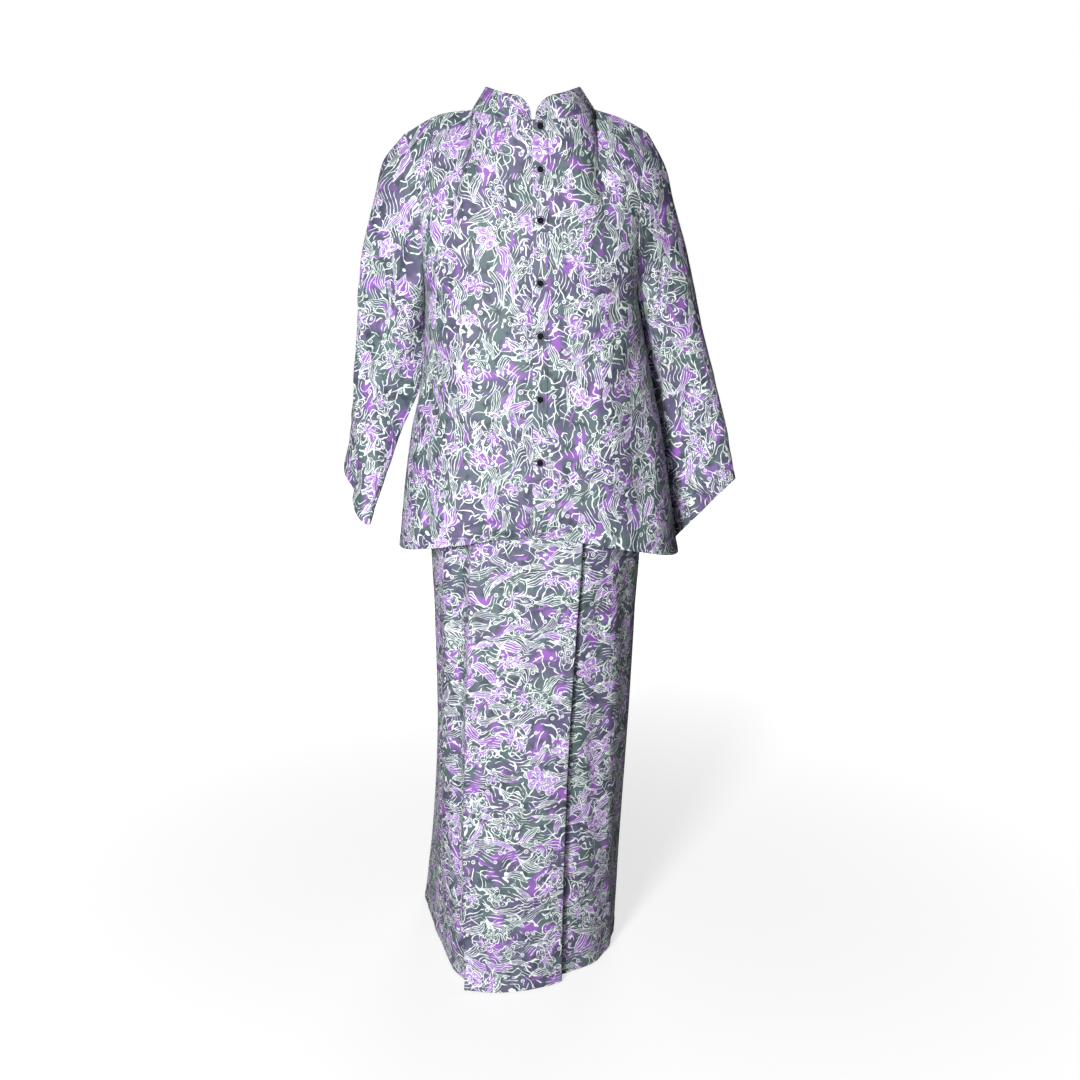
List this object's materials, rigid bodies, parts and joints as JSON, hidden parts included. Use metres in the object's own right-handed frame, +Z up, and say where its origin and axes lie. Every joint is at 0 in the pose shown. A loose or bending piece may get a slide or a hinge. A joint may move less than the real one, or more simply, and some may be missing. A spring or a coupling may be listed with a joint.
{
  "type": "tunic and long skirt set",
  "caption": "Malay two-piece dress: a hip-length tunic with a stand collar, buttoned front and flared sleeves over a long wrapped skirt, filled out as worn.",
  "frame": {"origin": "between the wearer's shoulders at the base of the neck, where the tunic hangs from the wearer", "axes": "+Z up along the wearer, the front faces -Y, +X is the wearer's left"},
  "size_m": [0.6547, 0.3738, 1.4753],
  "materials": {
    "cloth": "satin printed cotton",
    "collar_cloth": "satin printed cotton",
    "skirt_cloth": "satin printed cotton",
    "button": "dark covered button"
  },
  "bodies": {
    "root": {"back": "cloth", "collar": "collar_cloth", "front_left": "cloth", "front_right": "cloth", "placket": "collar_cloth", "skirt_back": "skirt_cloth", "skirt_front": "skirt_cloth", "skirt_under": "skirt_cloth", "sleeve_left": "cloth", "sleeve_right": "cloth", "waistband": "skirt_cloth", "button_1": "button", "button_2": "button", "button_3": "button", "button_4": "button", "button_5": "button", "button_6": "button", "button_7": "button"}
  },
  "joints": []
}
